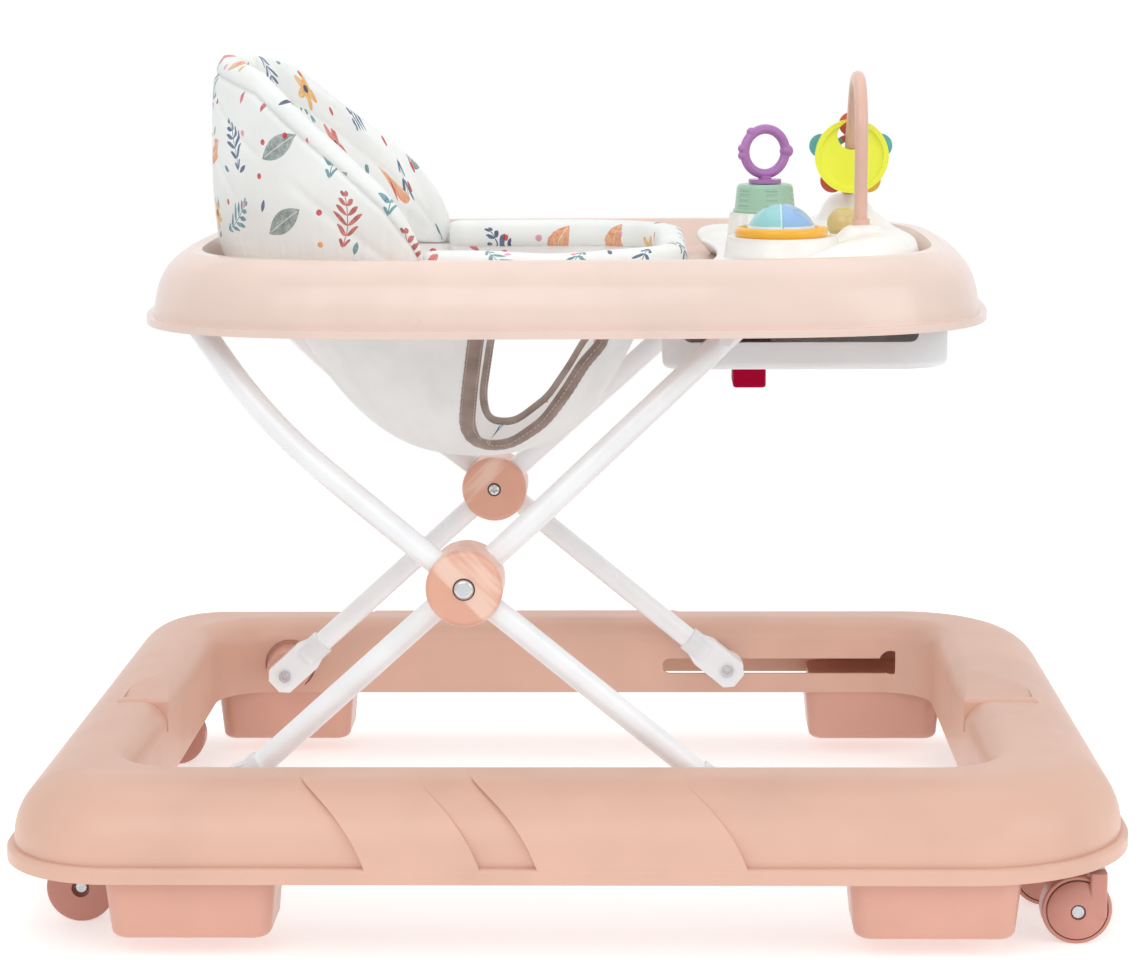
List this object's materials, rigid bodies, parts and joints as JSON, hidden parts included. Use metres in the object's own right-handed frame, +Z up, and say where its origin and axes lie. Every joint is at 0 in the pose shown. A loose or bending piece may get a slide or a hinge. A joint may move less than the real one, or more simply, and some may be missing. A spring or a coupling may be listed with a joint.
{
  "type": "baby walker",
  "caption": "Folding baby walker: a wheeled base ring, a scissor frame of bent tubes, and a tray with a sling seat, padded back and toys.",
  "frame": {"origin": "on the floor, at the centre of the base ring", "axes": "+X towards the walker's front, where the toys are; +Z up; +Y to the walker's left"},
  "size_m": [0.729, 0.6, 0.561],
  "materials": {
    "base_plastic": "satin moulded plastic",
    "disc_plastic": "satin moulded plastic",
    "wheel_plastic": "satin moulded plastic",
    "tray_plastic": "soft gloss moulded plastic",
    "white_tube": "smooth white coating",
    "white_plastic": "satin moulded plastic",
    "grey_plastic": "satin",
    "steel": "bright",
    "red_plastic": "gloss",
    "seat_fabric": "woven cloth",
    "binding_fabric": "woven tape",
    "toy_white": "gloss",
    "arch_plastic": "gloss",
    "cup_green": "gloss",
    "ring_purple": "gloss",
    "ring_amber": "gloss",
    "dome_blue": "gloss",
    "knob_amber": "gloss",
    "disc_yellow": "translucent gloss",
    "petal_teal": "gloss"
  },
  "bodies": {
    "base": {"base_shell": "base_plastic", "foot_blocks": "disc_plastic", "caster_sockets": "base_plastic", "caster_collars": "grey_plastic", "rear_wheel_brackets": "base_plastic", "rear_axle_screws": "steel", "hinge_spacers": "disc_plastic", "hinge_bolts": "steel"},
    "rear_wheel_left_body": {"rear_wheel_left": "wheel_plastic"},
    "rear_wheel_right_body": {"rear_wheel_right": "wheel_plastic"},
    "straight_frame": {"straight_tube_left": "white_tube", "straight_tube_right": "white_tube", "straight_tube_caps": "white_plastic", "slide_rod": "white_tube", "inner_pivot_discs": "disc_plastic"},
    "bent_frame": {"bent_tube_left": "white_tube", "bent_tube_right": "white_tube", "bent_tube_caps": "white_plastic", "outer_pivot_discs": "disc_plastic", "pivot_rivets": "steel", "slide_shoes": "white_plastic", "shoe_screws": "steel"},
    "tray": {"upper_tray": "tray_plastic", "tray_brackets": "white_plastic", "tray_hinge_pins": "steel", "catch_housing": "white_plastic", "seat_back_pad": "seat_fabric", "seat_rim_pad": "seat_fabric", "seat_sling": "seat_fabric", "leg_bindings": "binding_fabric", "toy_tray": "toy_white", "arch_bar": "arch_plastic", "arch_collar": "arch_plastic", "toy_cup": "cup_green", "spinner_ring": "ring_amber"},
    "catch": {"release_catch": "red_plastic"},
    "rattle": {"ring_rattle": "ring_purple"},
    "dome": {"spinner_dome": "dome_blue"},
    "knob": {"press_knob": "knob_amber"},
    "disc": {"hanging_disc": "disc_yellow"},
    "petals": {"petal_rattle": "petal_teal"},
    "caster_left_outer": {"caster_fork_left_outer": "wheel_plastic", "caster_axle_left_outer": "steel"},
    "caster_wheel_left_outer_body": {"caster_wheel_left_outer": "wheel_plastic"},
    "caster_left_inner": {"caster_fork_left_inner": "wheel_plastic", "caster_axle_left_inner": "steel"},
    "caster_wheel_left_inner_body": {"caster_wheel_left_inner": "wheel_plastic"},
    "caster_right_outer": {"caster_fork_right_outer": "wheel_plastic", "caster_axle_right_outer": "steel"},
    "caster_wheel_right_outer_body": {"caster_wheel_right_outer": "wheel_plastic"},
    "caster_right_inner": {"caster_fork_right_inner": "wheel_plastic", "caster_axle_right_inner": "steel"},
    "caster_wheel_right_inner_body": {"caster_wheel_right_inner": "wheel_plastic"}
  },
  "joints": [
    {"name": "fold", "type": "hinge", "parent": "base", "child": "straight_frame", "pos_m": [-0.233, 0, 0.0745], "axis": [0, 1, 0], "range_deg": [-2, 33]},
    {"name": "scissor", "type": "hinge", "parent": "straight_frame", "child": "bent_frame", "pos_m": [-0.067, 0, 0.224], "axis": [0, 1, 0], "range_deg": [-64.5, 4.5]},
    {"name": "tray_level", "type": "hinge", "parent": "bent_frame", "child": "tray", "pos_m": [-0.248, 0, 0.391], "axis": [0, 1, 0], "range_deg": [-2.5, 31.5]},
    {"name": "catch_pull", "type": "slide", "parent": "tray", "child": "catch", "axis": [0, 0, 1], "range_m": [-0.006, 0], "stiffness_N_per_m": 500, "springref_m": 0.003},
    {"name": "rattle_spin", "type": "hinge", "parent": "tray", "child": "rattle", "pos_m": [0.134, 0.015, 0.455], "axis": [0, 0, 1], "continuous": true},
    {"name": "dome_spin", "type": "hinge", "parent": "tray", "child": "dome", "pos_m": [0.1415, -0.075, 0.43], "axis": [0, 0, 1], "continuous": true},
    {"name": "knob_press", "type": "slide", "parent": "tray", "child": "knob", "axis": [0, 0, 1], "range_m": [-0.004, 0], "stiffness_N_per_m": 300, "springref_m": 0.002},
    {"name": "disc_swing", "type": "hinge", "parent": "tray", "child": "disc", "pos_m": [0.196, 0.032, 0.50117], "axis": [0, 1, 0], "range_deg": [-30, 30]},
    {"name": "petal_spin", "type": "hinge", "parent": "tray", "child": "petals", "pos_m": [0.196, 0.044, 0.4863], "axis": [0, 1, 0], "continuous": true},
    {"name": "rear_wheel_left_spin", "type": "hinge", "parent": "base", "child": "rear_wheel_left_body", "pos_m": [-0.322, 0.2, 0.0225], "axis": [0, 1, 0], "continuous": true},
    {"name": "rear_wheel_right_spin", "type": "hinge", "parent": "base", "child": "rear_wheel_right_body", "pos_m": [-0.322, -0.2, 0.0225], "axis": [0, 1, 0], "continuous": true},
    {"name": "caster_left_outer_swivel", "type": "hinge", "parent": "base", "child": "caster_left_outer", "pos_m": [0.337, 0.241, 0.055], "axis": [0, 0, 1], "continuous": true},
    {"name": "caster_left_outer_spin", "type": "hinge", "parent": "caster_left_outer", "child": "caster_wheel_left_outer_body", "pos_m": [0.324, 0.244, 0.0225], "axis": [0, 1, 0], "continuous": true},
    {"name": "caster_left_inner_swivel", "type": "hinge", "parent": "base", "child": "caster_left_inner", "pos_m": [0.328, 0.16, 0.055], "axis": [0, 0, 1], "continuous": true},
    {"name": "caster_left_inner_spin", "type": "hinge", "parent": "caster_left_inner", "child": "caster_wheel_left_inner_body", "pos_m": [0.315, 0.163, 0.0225], "axis": [0, 1, 0], "continuous": true},
    {"name": "caster_right_outer_swivel", "type": "hinge", "parent": "base", "child": "caster_right_outer", "pos_m": [0.337, -0.241, 0.055], "axis": [0, 0, 1], "continuous": true},
    {"name": "caster_right_outer_spin", "type": "hinge", "parent": "caster_right_outer", "child": "caster_wheel_right_outer_body", "pos_m": [0.324, -0.244, 0.0225], "axis": [0, 1, 0], "continuous": true},
    {"name": "caster_right_inner_swivel", "type": "hinge", "parent": "base", "child": "caster_right_inner", "pos_m": [0.328, -0.16, 0.055], "axis": [0, 0, 1], "continuous": true},
    {"name": "caster_right_inner_spin", "type": "hinge", "parent": "caster_right_inner", "child": "caster_wheel_right_inner_body", "pos_m": [0.315, -0.163, 0.0225], "axis": [0, 1, 0], "continuous": true}
  ],
  "couplings": [
    {"joint": "scissor", "follows": "fold", "ratio": -1.937},
    {"joint": "tray_level", "follows": "fold", "ratio": 0.937}
  ]
}
